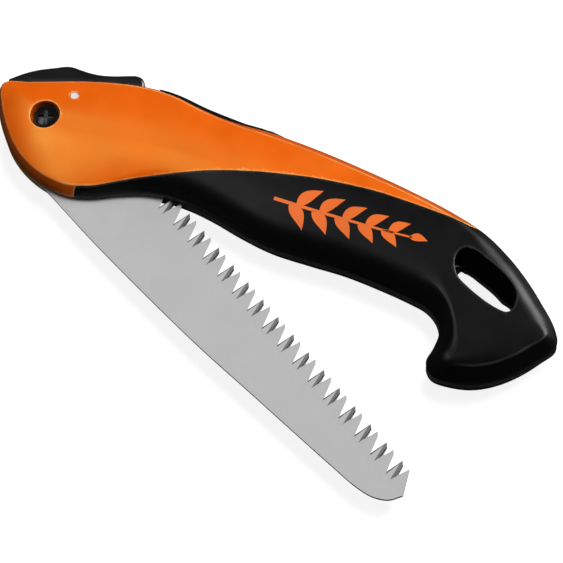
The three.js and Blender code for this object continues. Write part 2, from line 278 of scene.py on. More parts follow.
def section(point, partner):
    """The half handle's profile at one outline point: (inward, height) pairs from the slot."""
    x, y = point.x, point.y
    way = (partner - point).length
    foot = Vector((0, WALL_FOOT))
    rim = Vector((lean(x), rim_height(x)))
    rise = HALF - rim.y
    reach = crown_share(x) * (way - rim.x)
    radius = min(rim_radius(x, y), 0.7 * (rim - foot).length)

    def crown(k):
        return Vector((rim.x + reach * k, HALF - rise * (1 - k) ** 2))

    rows = [Vector((0.35, SLOT_HALF)), Vector((0.1, SLOT_HALF + 0.1)), Vector((0, SLOT_HALF + 0.35))]
    last = rim - (rim - foot).normalized() * radius
    wall_steps, edge_steps, crown_steps, bulge = 6, 8, 14, 0.25
    for k in range(wall_steps):
        t = k / wall_steps
        p = foot.lerp(last, t)
        rows.append(p - Vector((bulge * math.sin(math.pi * t), 0)))
    begin = min(radius / max(reach, 1e-6), 0.5)
    for k in range(edge_steps + 1):
        rows.append(bezier(last, rim, crown(begin), k / edge_steps))
    for k in range(1, crown_steps + 1):
        rows.append(crown(begin + (1 - begin) * k / crown_steps))
    return rows


# ---------------------------------------------------------------- sheets of faces
class Sheet:
    """Points, faces and a normal for each point, in millimetres."""

    def __init__(self):
        self.points, self.faces, self.normals = [], [], []

    def measure(self):
        self.normals = [Vector() for _ in self.points]
        for face in self.faces:
            n = Vector()
            first = self.points[face[0]]
            for b, c in zip(face[1:], face[2:]):
                n += (self.points[b] - first).cross(self.points[c] - first)
            for i in face:
                self.normals[i] += n
        self.normals = [n.normalized() for n in self.normals]

    def add(self, point, normal):
        self.points.append(Vector(point))
        self.normals.append(Vector(normal))
        return len(self.points) - 1

    def copy(self):
        other = Sheet()
        other.points = [p.copy() for p in self.points]
        other.normals = [n.copy() for n in self.normals]
        other.faces = [list(f) for f in self.faces]
        return other


def grid_sheet(rows, closed=True):
    """A sheet from equal rows of points, the first row lowest on the outside."""
    sheet = Sheet()
    width = len(rows[0])
    for line in rows:
        sheet.points += line
    for r in range(len(rows) - 1):
        for i in range(width if closed else width - 1):
            a, b = r * width + i, r * width + (i + 1) % width
            sheet.faces.append([a, b, b + width, a + width])
    sheet.measure()
    return sheet


def lathe(profile, centre, sides):
    """Rows of points: the (radius, z) pairs turned round an upright axis."""
    rows = []
    for radius, z in profile:
        ring = []
        for k in range(sides):
            a = 2 * math.pi * k / sides
            ring.append(Vector((centre[0] + radius * math.cos(a), centre[1] + radius * math.sin(a), z)))
        rows.append(ring)
    return rows


def cut(sheet, side, roll, wall=None):
    """Keeps where side is positive. The edge rolls over by roll, then follows wall."""
    value = [side(p) - roll for p in sheet.points]
    made, edges, faces = {}, [], []

    def crossing(a, b):
        key = (min(a, b), max(a, b))
        if key not in made:
            t = value[a] / (value[a] - value[b])
            point = sheet.points[a].lerp(sheet.points[b], t)
            made[key] = sheet.add(point, sheet.normals[a].lerp(sheet.normals[b], t).normalized())
        return made[key]

    for face in sheet.faces:
        keep = [value[i] > 0 for i in face]
        if all(keep):
            faces.append(face)
            continue
        if not any(keep):
            continue
        out, ends = [], []
        for k, a in enumerate(face):
            b = face[(k + 1) % len(face)]
            if value[a] > 0:
                out.append(a)
            if (value[a] > 0) != (value[b] > 0):
                new = crossing(a, b)
                out.append(new)
                ends.append((new, value[a] > 0))
        faces.append(out)
        if len(ends) == 2:
            leaving = [e for e, kept in ends if kept][0]
            coming = [e for e, kept in ends if not kept][0]
            edges.append((leaving, coming))
    sheet.faces = faces
    if roll or wall:
        roll_edge(sheet, side, roll, edges, wall)
    return sheet


def roll_edge(sheet, side, roll, edges, wall):
    """Adds the rounding and the wall along a cut edge."""
    steps = 4
    columns = {}
    for a, b in edges:
        for i in (a, b):
            if i in columns:
                continue
            p, n = sheet.points[i].copy(), sheet.normals[i].copy()
            step = 0.02
            here = side(p)
            slope = Vector([side(p + step * axis) - here for axis in
                            (Vector((1, 0, 0)), Vector((0, 1, 0)), Vector((0, 0, 1)))])
            away = -slope
            away = (away - away.dot(n) * n).normalized()
            column = [i]
            for k in range(1, steps + 1):
                angle = math.pi / 2 * k / steps
                spot = p + roll * (math.sin(angle) * away - (1 - math.cos(angle)) * n)
                column.append(sheet.add(spot, math.cos(angle) * n + math.sin(angle) * away))
            for spot in (wall(sheet.points[column[-1]], n) if wall else []):
                column.append(sheet.add(spot, away))
            columns[i] = column
    for a, b in edges:
        for k in range(len(columns[a]) - 1):
            sheet.faces.append([columns[b][k], columns[a][k], columns[a][k + 1], columns[b][k + 1]])


def waist(p):
    """Where a point of the lanyard hole's edge goes at the slot: the upper side comes in."""
    lower = max(6.2, 10.9 - 0.28 * (p.x - 183.7))
    up = min(max((p.y - lower) / 13, 0), 1)
    return Vector((p.x, p.y - WAIST * up * up, SLOT_HALF))


WAIST_SHAPE = Outline([waist(p) for p in HOLE_LINE])


# Walls that follow a cut edge: each gives the points below p, whose normal is n.
def to_waist(p, n):
    return [p.lerp(waist(p), k / 6) for k in range(1, 7)]


def groove(depth):
    return lambda p, n: [p - n * depth]


def straight_down(z):
    return lambda p, n: [Vector((p.x, p.y, p.z + (z - p.z) * k / 4)) for k in (1, 2, 3, 4)]


# ---------------------------------------------------------------- turning sheets into pieces
SMOOTH = math.radians(32)


def capped_mesh(name, rows):
    """A closed mesh from rows of points, with a flat face on its first and last row."""
    sheet = grid_sheet(rows)
    count, width = len(sheet.points), len(rows[0])
    sheet.faces.append(list(range(width))[::-1])
    sheet.faces.append(list(range(count - width, count)))
    mesh = bpy.data.meshes.new(name)
    mesh.from_pydata([metres(p) for p in sheet.points], [], sheet.faces)
    return mesh


def make_piece(name, sheets, materials, body, nodes=(), smooth=SMOOTH):
    """sheets: (sheet, material index) pairs, joined into one mesh object."""
    mesh = bpy.data.meshes.new(name)
    points, faces, slots = [], [], []
    for sheet, slot in sheets:
        start = len(points)
        points += [metres(p) for p in sheet.points]
        faces += [[start + i for i in f] for f in sheet.faces]
        slots += [slot] * len(sheet.faces)
    mesh.from_pydata(points, [], faces)
    mesh.polygons.foreach_set("material_index", slots)
    for material in materials:
        mesh.materials.append(material)
    return finish_piece(name, mesh, body, nodes, smooth)


# Bends in radians for each millimetre: the painted edge light and shade starts at the first and is full
# at the second.
PAINTED_EDGE_FROM = 0.25
PAINTED_EDGE_FULL = 0.7


def edge_sharpness(work):
    """For each point, 0 on broad faces and up to 1 on tight convex edges: the mask for the painted edge
    light and shade.
    """
    work.verts.index_update()
    painted_edge_share = [0.0] * len(work.verts)
    for edge in work.edges:
        if len(edge.link_faces) != 2:
            continue
        one, two = edge.link_faces
        gap = (one.calc_center_median() - two.calc_center_median()).length / MM
        bend = edge.calc_face_angle_signed(0) / max(gap, 0.05)
        share = min(max((bend - PAINTED_EDGE_FROM) / (PAINTED_EDGE_FULL - PAINTED_EDGE_FROM), 0), 1)
        for vertex in edge.verts:
            painted_edge_share[vertex.index] = max(painted_edge_share[vertex.index], share)
    return painted_edge_share


def finish_piece(name, mesh, body, nodes=(), smooth=SMOOTH):
    """Smooths the mesh up to the given angle, stores its edge mask for the painted edge light and shade
    and adds it to its body.
    """
    work = bmesh.new()
    work.from_mesh(mesh)
    bmesh.ops.remove_doubles(work, verts=work.verts, dist=1e-7)
    loose = [v for v in work.verts if not v.link_faces]
    bmesh.ops.delete(work, geom=loose, context="VERTS")
    for face in work.faces:
        face.smooth = True
    for edge in work.edges:
        edge.smooth = len(edge.link_faces) != 2 or edge.calc_face_angle(0) < smooth
    # This sharpness mask drives the painted edge light and shade in the materials.
    painted_edge_share = edge_sharpness(work)
    work.to_mesh(mesh)
    work.free()
    mesh.attributes.new("painted_edge_light_and_shade", "FLOAT", "POINT").data.foreach_set("value", painted_edge_share)
    piece = add_object(name, mesh)
    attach(piece, body)
    if nodes:
        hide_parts(*nodes)
    return piece


def cut_with(mesh, cutter):
    """Takes the cutter's shape out of the mesh and returns the new mesh."""
    body = add_object("work_body", mesh)
    change = body.modifiers.new("cut", "BOOLEAN")
    change.operation = "DIFFERENCE"
    change.solver = "EXACT"
    change.use_self = True
    change.object = cutter
    view = bpy.context.evaluated_depsgraph_get()
    made = bpy.data.meshes.new_from_object(body.evaluated_get(view))
    bpy.data.objects.remove(body)
    bpy.data.objects.remove(cutter)
    return made


def mirrored(sheet):
    """The same sheet on the other side of the mid-plane."""
    other = sheet.copy()
    for p in other.points:
        p.z = -p.z
    for n in other.normals:
        n.z = -n.z
    other.faces = [f[::-1] for f in other.faces]
    return other


# ---------------------------------------------------------------- handle
def outer_skin():
    """The upper half's outside, as the rounded part and its flat top."""
    profiles = [section(p, q) for p, q in zip(RIM_LINE, PARTNERS)]
    rows = []
    for r in range(len(profiles[0])):
        line = []
        for p, q, profile in zip(RIM_LINE, PARTNERS, profiles):
            way = (q - p).normalized()
            spot = p + way * profile[r].x
            line.append(Vector((spot.x, spot.y, profile[r].y)))
        rows.append(line)
    return grid_sheet(rows), flat_patch(HALF, Outline(rows[-1][::2]), -0.25)


def wall_inset(x, z):
    """How far in from the outline the outer wall is at height z."""
    return lean(x) * min(max((z - WALL_FOOT) / (rim_height(x) - WALL_FOOT), 0), 1)


def flat_patch(z, shape, margin, cell=1.5):
    """A flat sheet at height z, cut to the shape grown by -margin."""
    xs = [p.x for p in shape.line]
    ys = [p.y for p in shape.line]
    wide = math.ceil((max(xs) - min(xs)) / cell) + 3
    deep = math.ceil((max(ys) - min(ys)) / cell) + 3
    rows = []
    for j in range(deep):
        y = min(ys) - cell + j * cell
        rows.append([Vector((min(xs) - cell + i * cell, y, z)) for i in range(wide)])
    return cut(grid_sheet(rows, closed=False), lambda p: shape.distance(p.x, p.y) - margin, 0)


def level_face(z, margin):
    """A flat face across the inside of a half, at height z."""
    line = []
    for p, q in zip(RIM_LINE, PARTNERS):
        line.append(p + (q - p).normalized() * (margin + wall_inset(p.x, z)))
    return flat_patch(z, Outline(line[::2]), 0)


def away_from(centre, radius):
    return lambda p: math.hypot(p.x - centre[0], p.y - centre[1]) - radius


def on_grip(p):
    return GRIP_SIDE.distance(p.x, p.y)


def off_grip(p):
    return -GRIP_SIDE.distance(p.x, p.y)


def off_hole(p):
    return -HOLE_SHAPE.distance(p.x, p.y)


def within_wall(p):
    return HANDLE_SHAPE.distance(p.x, p.y) - wall_inset(p.x, p.z) - 0.1


def off_waist(p):
    return -WAIST_SHAPE.distance(p.x, p.y)


def off_room(p):
    return max(-ROOM_SHAPE.distance(p.x, p.y), p.z - LEVER_ROOM_HALF)


def room_walls():
    """The floor of the lever's room and the thin ear beside the lever."""
    line = even(trace(flat(LEVER_ROOM[:14]), False, 8), False, 120)
    heights = [SLOT_HALF + (LEVER_ROOM_HALF - SLOT_HALF) * k / 6 for k in range(7)]
    floor = grid_sheet([[Vector((p.x, p.y, z)) for p in line] for z in heights], closed=False)
    cut(floor, within_wall, 0)
    roof = level_face(LEVER_ROOM_HALF, 0.02)
    cut(roof, lambda p: ROOM_SHAPE.distance(p.x, p.y), 0)
    return [floor, roof]


def floor_disc(centre, outer, inner, z):
    """A flat ring at height z."""
    return grid_sheet(lathe([(outer, z), (inner, z)], centre, 48))


def cut_wells(skin, screws):
    for place, seat in screws:
        cut(skin, away_from(place, SCREW_WELL_R), 0.25, straight_down(seat))


def well_floors(screws):
    return [floor_disc(place, SCREW_WELL_R + 0.1, SCREW_HOLE_R, seat) for place, seat in screws]


def shell_sheets(skins, level, upper):
    """The orange shell of one half: outside, face on the slot and walls of the lever's room."""
    sheets = [skin.copy() for skin in skins]
    for skin in sheets:
        cut(skin, off_grip, 0.22, groove(0.8))
        cut(skin, off_room, 0)
        cut(skin, away_from(PIVOT, RECESS_R), 0.3, straight_down(RECESS_FLOOR))
        cut(skin, away_from(LEVER_PIN, LEVER_PIN_HOLE_R), 0.12, straight_down(LEVER_PIN_HOLE_FLOOR))
        if not upper:
            cut_wells(skin, SHELL_SCREWS)
    face = cut(level.copy(), off_grip, 0)
    cut(face, off_room, 0)
    return sheets + [face] + room_walls()


def grip_sheets(skins, level, upper):
    """The black grip of one half: outside with the lanyard hole, then the face on the slot."""
    sheets = [skin.copy() for skin in skins]
    for skin in sheets:
        cut(skin, on_grip, 0.3, groove(0.8))
        cut(skin, off_hole, 0.55, to_waist)
        if not upper:
            cut_wells(skin, GRIP_SCREWS)
    face = cut(level.copy(), on_grip, 0)
    cut(face, off_waist, 0)
    return sheets + [face]


def make_handle(look):
    """The shells and grips of both halves. The lower half mirrors the upper one."""
    skins = outer_skin()
    level = level_face(SLOT_HALF, 0.35)
    for upper in (True, False):
        side = "upper" if upper else "lower"
        shell = shell_sheets(skins, level, upper)
        shell.append(floor_disc(PIVOT, RECESS_R + 0.05, SHANK_HOLE_R, RECESS_FLOOR))
        grip = grip_sheets(skins, level, upper)
        if not upper:
            shell = [mirrored(sheet) for sheet in shell + well_floors(SHELL_SCREWS)]
            grip = [mirrored(sheet) for sheet in grip + well_floors(GRIP_SCREWS)]
        shell = [(sheet, 0) for sheet in shell]
        inner_face = len(skins)
        # The grip's face on the slot takes a lighter grey: painted light on a face that sits in shade
        # inside the slot.
        grip = [(sheet, 1 if i == inner_face else 0) for i, sheet in enumerate(grip)]
        piece = make_piece(side + "_shell_skin", shell, [look["orange"]], "handle", [side + "_shell"])
        piece = make_piece(side + "_grip_skin", grip, [look["rubber"], look["slot_painted_light"]], "handle",
                           [side + "_grip"])


# ---------------------------------------------------------------- blade
# Drawn with the pivot at the origin and x along the blade.
TOOTH_PAIR = 9.72  # from one pair of teeth to the next
TOOTH_PAIRS = 17
PAIR_GAP = 4.1  # from the first to the second tooth of a pair
FIRST_TIP = 49.3
TOOTH_LINE = 20.6
NOSE_TO_ROOT = [
    (215.7, 12.2), (213.4, 6.8), (208.6, 2.9), (201.5, 0.5), (188, -1.6), (166, -4.6),
    (144.2, -7.5), (117.7, -11.1), (84, -14.4), (52, -16.8), (27.8, -17.8),
]
SPINE_STEPS = 8


def arc(radius, start, end, steps):
    """Points round the origin, from one angle in degrees to another."""
    angles = [math.radians(start + (end - start) * k / steps) for k in range(steps + 1)]
    return [(radius * math.cos(a), radius * math.sin(a)) for a in angles]


def blade_back():
    """The untoothed edge, from the last tooth round the nose, along the spine and the tang."""
    spine = trace(flat(NOSE_TO_ROOT), False, SPINE_STEPS)
    tang = [(22, -18.2), (14, -19.3), (6.4, -19.5), (2.2, -19.3)] + arc(16.2, -88, -120, 10)
    tang += arc(17.4, -121, -127, 4) + arc(11.4, -129, -265, 28)
    tang += [(20, 11.2), (FIRST_TIP - 3.5, 15.6)]
    return [(p.x, p.y) for p in spine] + tang


def turned(x, y, z):
    """A point of the blade, turned to its angle at rest."""
    c, s = math.cos(BLADE_ANGLE), math.sin(BLADE_ANGLE)
    return Vector((PIVOT[0] + x * c - y * s, PIVOT[1] + x * s + y * c, z))


def tooth_shape(x, kind, bevelled):
    """One tooth: the outline left of it, over it and right of it, and its ground line."""
    y = TOOTH_LINE + 0.35
    start = (x - 0.9, y - 8.4) if not kind else (x - 1.1, y - 5.9)
    end = (x + 3.0, y - 5.9) if not kind else (x + 4.72, y - 8.4)
    if not bevelled:
        return start, (x, y), (x + 1.5, y - 1), end, ()
    tip = (x - 0.3, y + 0.3)
    flank = (x + 1.1, y - 0.7)
    left = (start[0] + 0.85, start[1] - 0.05)
    inner = (x + 0.1, y - 1.5)
    right = (x + 2.75, y - 8.6) if not kind else (end[0] - 1.6, end[1] - 0.3)
    return start, tip, flank, end, (left, inner, right)


def add_face(sheet, corners):
    """corners: (place, height) pairs in the blade's own frame."""
    sheet.faces.append([sheet.add(turned(*place, z), (0, 0, 1)) for place, z in corners])


def blade_side(near):
    """One face of the blade with its ground teeth: the plain faces, the ground faces,
    and the height at which each outline point meets the edge."""
    plain, ground, edge, face = Sheet(), Sheet(), [], []
    top, low = BLADE_HALF, -0.1
    for pair in range(TOOTH_PAIRS):
        for kind in (0, 1):
            if kind and pair + 1 == TOOTH_PAIRS:
                continue
            bevelled = (kind == 0) == near
            x = FIRST_TIP + pair * TOOTH_PAIR + PAIR_GAP * kind
            start, tip, flank, end, inner = tooth_shape(x, kind, bevelled)
            if not bevelled:
                face += [start, tip, flank]
                edge += [(start, top), (tip, top), (flank, top)]
                continue
            left, middle, right = inner
            face += [left, middle, right]
            edge += [(start, low), (tip, low), (flank, low)]
            # These ground faces take the darker steel, a painted shade for their tilt.
            add_face(ground, [(start, low), (tip, low), (middle, top), (left, top)])
            add_face(ground, [(tip, low), (flank, low), (end, low), (right, top), (middle, top)])
            add_face(ground, [(end, low), (end, top), (right, top)])
    last = (FIRST_TIP + (TOOTH_PAIRS - 1) * TOOTH_PAIR + 3.3, TOOTH_LINE - 4.8)
    for place in [last, (209.1, TOOTH_LINE + 0.3)] + blade_back():
        face.append(place)
        edge.append((place, top))
    add_face(plain, [(place, top) for place in face])
    return plain, ground, edge


def make_blade(look):
    """The blade's two faces with their ground teeth, and the narrow edge between them."""
    plain, ground, edge = blade_side(True)
    back_plain, back_ground, back_edge = blade_side(False)
    rim = Sheet()
    lower = [rim.add(turned(p[0], p[1], -z), (0, 0, 0)) for p, z in back_edge]
    upper = [rim.add(turned(p[0], p[1], z), (0, 0, 0)) for p, z in edge]
    # The tang's narrow edge is kept apart for a near-white painted highlight.
    tang = rim.copy()
    count = len(lower)
    tang_start = count - len(blade_back()) + SPINE_STEPS * (len(NOSE_TO_ROOT) - 1)
    for i in range(count):
        j = (i + 1) % count
        band = tang if i >= tang_start else rim
        band.faces.append([lower[i], upper[i], upper[j], lower[j]])
    # The blade's narrow edge is painted dark grey as a painted shade line; the tang's edge carries the
    # painted highlight.
    sheets = [(plain, 0), (ground, 1), (mirrored(back_plain), 0), (mirrored(back_ground), 1),
              (rim, 2), (tang, 3)]
    steels = [look["blade"], look["ground"], look["edge"], look["rim"]]
    piece = make_piece("blade_steel", sheets, steels, "blade", ["saw_blade"], math.radians(12))


# ---------------------------------------------------------------- back pad and emblem
PAD_START, PAD_END = 33.6, 96
PAD_HALF = 8.6  # half the pad's width where it is widest
PAD_PROUD = 0.8  # how far it stands out of the back
PAD_ROUND = 5  # the length of its rounded front end
PAD_TAPER = 34  # the length of its tapered rear end
PAD_TUCK = 2.4  # how far its edge turns into the handle
# The rows of points along it, as shares of half its width.
PAD_SHARES = (-1, -0.97, -0.92, -0.8, -0.6, -0.4, -0.2, 0, 0.2, 0.4, 0.6, 0.8, 0.92, 0.97, 1)


def make_back_pad(look):
    """The black pad that stands a little proud along the back of the grip."""
    inside = [p for p in RIM_LINE if PAD_START < p.x < PAD_END and p.y > 20]
    inside.sort(key=lambda p: p.x)
    start, end = inside[0].x, inside[-1].x
    rows = []
    for share in PAD_SHARES:
        line = []
        for i, p in enumerate(inside):
            q = inside[min(i + 1, len(inside) - 1)] - inside[max(i - 1, 0)]
            out = Vector((-q.y, q.x, 0)).normalized()
            front = min((p.x - start) / PAD_ROUND, 1)
            rear = min((end - p.x) / PAD_TAPER, 1)
            tall = PAD_HALF * math.sqrt(front * (2 - front)) * rear * (2 - rear)
            tuck = max(abs(share) ** 12, 1 - min(p.x - start, end - p.x) / 1.4)
            height = PAD_PROUD - PAD_TUCK * tuck ** 2 - wall_inset(p.x, tall * abs(share))
            spot = p + out * height
            line.append(Vector((spot.x, spot.y, tall * share)))
        rows.append(line)
    piece = make_piece("back_pad", [(grid_sheet(rows, closed=False), 0)], [look["rubber"]], "handle")


def leaf(root, angle, length, width):
    """A pointed leaf as a narrow grid of points."""
    rows = []
    for side in (-1, -0.5, 0, 0.5, 1):
        line = []
        for k in range(17):
            t = k / 16
            half = width / 2 * math.sin(math.pi * t ** 0.75) * (1 - 0.15 * t)
            along, across = t * length, side * half + 0.08 * length * math.sin(math.pi * t)
            c, d = math.cos(angle), math.sin(angle)
            line.append(Vector((root.x + along * c - across * d, root.y + along * d + across * c, 0)))
        rows.append(line)
    return grid_sheet(rows, closed=False)


STEM = [(103, 8), (118, 10.2), (133, 12.6), (148, 15.2), (160, 17.6)]
STEM_STEPS = 60


def stem_sheet(stem):
    """A narrow band along the stem that tapers towards its end."""
    rows = [[], [], []]
    for i, p in enumerate(stem):
        q = (stem[min(i + 1, STEM_STEPS)] - stem[max(i - 1, 0)]).normalized()
        across = Vector((-q.y, q.x, 0)) * (0.75 - 0.35 * i / STEM_STEPS)
        for row, side in zip(rows, (-1, 0, 1)):
            row.append(p + across * side)
    return grid_sheet(rows, closed=False)


def sprig_sheets():
    """The stem, five pairs of leaves that get smaller along it, and the end leaf."""
    stem = even(trace(flat(STEM), False, 12), False, STEM_STEPS)
    sheets = [stem_sheet(stem)]
    for i in range(5):
        for side in (-1, 1):
            k = 7 + 10 * i + 3 * (side > 0)
            heading = stem[k + 1] - stem[k - 1]
            angle = math.atan2(heading.y, heading.x) + side * math.radians(48 - 3 * i)
            sheets.append(leaf(stem[k], angle, 12.4 - 0.7 * i, 5.4 - 0.25 * i))
    heading = stem[STEM_STEPS] - stem[STEM_STEPS - 2]
    sheets.append(leaf(stem[STEM_STEPS - 1], math.atan2(heading.y, heading.x), 7.5, 3.6))
    return sheets


def make_emblem(look):
    """A plain printed sprig of leaves, laid on the broad side of the grip."""
    grip = bpy.data.objects["upper_grip_skin"]
    surface = BVHTree.FromPolygons([v.co for v in grip.data.vertices],
                                   [p.vertices for p in grip.data.polygons])
    sheets = sprig_sheets()
    for sheet in sheets:
        for p in sheet.points:
            hit = surface.ray_cast(metres((p.x, p.y, 40)), Vector((0, 0, -1)))[0]
            p.z = hit.z / MM - SHIFT.z + 0.07
    piece = make_piece("grip_emblem", [(s, 0) for s in sheets], [look["mark"]], "handle")


# ---------------------------------------------------------------- lever
# The lever's outline: along its top from the front, then back along its underside.
LEVER_TOP = [
    (-22.4, 6.4), (-23.2, 8.8), (-19, 13.8), (-14.4, 18), (-8.5, 22.1),
    (-4.6, 24.7), (-2.2, 25.6), (1.5, 26), (5.6, 26.5), (10.4, 27.7),
    (15.7, 29.9), (20.8, 32.6), (23.6, 33.9), (26, 34.1), (28, 33), (29.8, 30.4),
]
LEVER_UNDER = [
    (29.8, 24), (27.5, 20.5), (21, 17.8), (15.5, 14.5), (12.4, 9.4), (8, 7.8), (4, 8.4),
    (0.5, 11), (-3, 13.2), (-8, 11.6), (-14, 8.6), (-20.6, 4.8),
]
# The slit in the lever in which the blade's tang turns.
FORK = [
    (-30, -5), (12.8, -5), (12.8, 16.6), (8.6, 18.8), (1.2, 20.2), (-6, 18.9), (-12, 15.7),
    (-19.6, 11.6), (-30, 5.6),
]
FORK_HALF = 1.4
# The lever's side profile: height, and how far the edge is drawn in there.
LEVER_EDGE = [(4.85, 0), (5.05, 0.1), (5.9, 0.95), (LEVER_HALF, 1.15)]


def inset_line(line, depth):
    """The closed counter-clockwise line moved inwards by depth."""
    out = []
    for i, p in enumerate(line):
        one = (p - line[i - 1]).normalized()
        two = (line[(i + 1) % len(line)] - p).normalized()
        normal = Vector((-one.y - two.y, one.x + two.x, 0)).normalized()
        stretch = 1 / max(normal.dot(Vector((-one.y, one.x, 0))), 0.6)
        out.append(p + normal * depth * stretch)
    return out


def prism_cutter(name, line, bottom, top):
    """An upright prism on a counter-clockwise line, used to cut a slit."""
    rows = [[Vector((x, y, z)) for x, y in line] for z in (bottom, top)]
    return add_object(name, capped_mesh(name, rows))


def make_lever(look):
    """The lock lever, with a bevel round both sides and the slit for the tang."""
    top = even(trace(flat(LEVER_TOP[1:]), False, 12), False, 90)
    under = flat(LEVER_UNDER)
    line = (flat(LEVER_TOP[:1]) + top + under)[::-1]
    rows = []
    for z, depth in [(-z, depth) for z, depth in LEVER_EDGE[::-1]] + LEVER_EDGE:
        rows.append([Vector((p.x, p.y, z)) for p in inset_line(line, depth)])
    mesh = capped_mesh("lock_lever_body", rows)
    mesh = cut_with(mesh, prism_cutter("fork_cutter", FORK, -FORK_HALF, FORK_HALF))
    mesh.materials.clear()
    mesh.materials.append(look["plastic"])
    piece = finish_piece("lock_lever_body", mesh, "lever", ["lock_lever"])


# ---------------------------------------------------------------- pivot screw
def cross_cutter(name, centre, turn, long, wide, bottom, top):
    """A tapered cross, used to cut a screw's driver recess."""
    work = bmesh.new()
    for quarter in (0, 90):
        angle = math.radians(turn + quarter)
        along = Vector((math.cos(angle), math.sin(angle), 0))
        across = Vector((-along.y, along.x, 0))
        ring = []
        for share, z in ((0.75, bottom), (1, top)):
            for a, b in ((-1, -1), (1, -1), (1, 1), (-1, 1)):
                spot = Vector((*centre, z)) + along * a * long / 2 * share + across * b * wide / 2
                ring.append(work.verts.new(metres(spot)))
        work.faces.new([ring[i] for i in (3, 2, 1, 0)])
        work.faces.new([ring[i] for i in (4, 5, 6, 7)])
        for i in range(4):
            j = (i + 1) % 4
            work.faces.new([ring[i], ring[j], ring[j + 4], ring[i + 4]])
    mesh = bpy.data.meshes.new(name)
    work.to_mesh(mesh)
    work.free()
    return add_object(name, mesh)


HEAD_R = 5.4
HEAD_SEAT = 7.7
DOME_FOOT = 8.9
DOME_HEIGHT = 1.7
SHANK_R = 2.55
SHANK_END = -10.4


def make_screw(look):
    """The pivot screw: a domed head with a cross recess, on a plain shank."""
    steps = 14
    dome = []
    for k in range(steps):
        a = math.pi / 2 * k / steps
        dome.append((HEAD_R * math.cos(a), DOME_FOOT + DOME_HEIGHT * math.sin(a)))
    profile = [(SHANK_R, SHANK_END), (SHANK_R, HEAD_SEAT), (HEAD_R - 0.4, HEAD_SEAT), (HEAD_R, 8.0)]
    profile += dome
    mesh = capped_mesh("pivot_screw_body", lathe(profile, PIVOT, 64))
    cross = cross_cutter("recess_cutter", PIVOT, turn=28, long=8.6, wide=1.5, bottom=9.1, top=11.2)
    mesh = cut_with(mesh, cross)
    mesh.materials.clear()
    mesh.materials.append(look["black_steel"])
    piece = finish_piece("pivot_screw_body", mesh, "handle", ["pivot_screw"])


# ---------------------------------------------------------------- materials
def new_material(name, colour, roughness, metallic=0.0, **extra):
    material = bpy.data.materials.new(name)
    material.use_nodes = True
    shader = material.node_tree.nodes["Principled BSDF"]
    shader.inputs["Base Color"].default_value = (*colour, 1)
    shader.inputs["Roughness"].default_value = roughness
    shader.inputs["Metallic"].default_value = metallic
    for key, value in extra.items():
        shader.inputs[key.replace("_", " ")].default_value = value
    return material


class Nodes:
    """Short ways to add and join nodes in one material."""

    def __init__(self, material):
        self.tree = material.node_tree
        self.shader = self.tree.nodes["Principled BSDF"]
        self.place = self.tree.nodes.new("ShaderNodeTexCoord").outputs["Object"]

    def link(self, source, target):
        self.tree.links.new(source, target)

    def noise(self, scale, detail=3, stretch=None, turn=0):
        node = self.tree.nodes.new("ShaderNodeTexNoise")
        node.inputs["Scale"].default_value = scale
        node.inputs["Detail"].default_value = detail
        source = self.place
        if stretch:
            mapping = self.tree.nodes.new("ShaderNodeMapping")
            mapping.vector_type = "TEXTURE"
            mapping.inputs["Rotation"].default_value = (0, 0, turn)
            mapping.inputs["Scale"].default_value = stretch
            self.link(self.place, mapping.inputs["Vector"])
            source = mapping.outputs["Vector"]
        self.link(source, node.inputs["Vector"])
        return node.outputs["Fac"]

    def ranged(self, source, low, high, from_low=0.35, from_high=0.65):
        node = self.tree.nodes.new("ShaderNodeMapRange")
        node.inputs["From Min"].default_value = from_low
        node.inputs["From Max"].default_value = from_high
        node.inputs["To Min"].default_value = low
        node.inputs["To Max"].default_value = high
        self.link(source, node.inputs["Value"])
        return node.outputs["Result"]

    def blend(self, factor, one, two):
        node = self.tree.nodes.new("ShaderNodeMix")
        node.data_type = "RGBA"
        self.link(factor, node.inputs["Factor"])
        for value, socket in ((one, node.inputs[6]), (two, node.inputs[7])):
            if isinstance(value, tuple):
                socket.default_value = (*value, 1)
            else:
                self.link(value, socket)
        return node.outputs[2]

    def times(self, one, two):
        node = self.tree.nodes.new("ShaderNodeMath")
        node.operation = "MULTIPLY"
        self.link(one, node.inputs[0])
        self.link(two, node.inputs[1])
        return node.outputs[0]

    # The mask for the painted edge light and shade on sharp edges.
    def painted_edge_share(self):
        node = self.tree.nodes.new("ShaderNodeAttribute")
        node.attribute_name = "painted_edge_light_and_shade"
        return node.outputs["Fac"]

    def bump(self, source, strength, height):
        node = self.tree.nodes.new("ShaderNodeBump")
        node.inputs["Strength"].default_value = strength
        node.inputs["Distance"].default_value = height
        self.link(source, node.inputs["Height"])
        self.link(node.outputs["Normal"], self.shader.inputs["Normal"])


def plastic(name, colour, painted_edge_colour, roughness, grain, bump, **extra):
    """Moulded plastic: fine grain, a little cloudiness and edges painted paler as a painted highlight.
    """
    material = new_material(name, colour, roughness, **extra)
    nodes = Nodes(material)
    darker = tuple(c * 0.9 for c in colour)
    cloud = nodes.ranged(nodes.noise(45, 4), 0, 1)
    base = nodes.blend(cloud, darker, colour)
    # Sharp edges turn towards the second colour: a painted highlight along the rims.
    edge = nodes.times(nodes.painted_edge_share(), nodes.ranged(nodes.noise(160, 2), 0.45, 1))
    nodes.link(nodes.blend(edge, base, painted_edge_colour), nodes.shader.inputs["Base Color"])
    rough = nodes.ranged(nodes.noise(90, 4), roughness - 0.04, roughness + 0.05)
    nodes.link(rough, nodes.shader.inputs["Roughness"])
    nodes.bump(nodes.noise(grain, 2), bump, 0.00006)
    return material


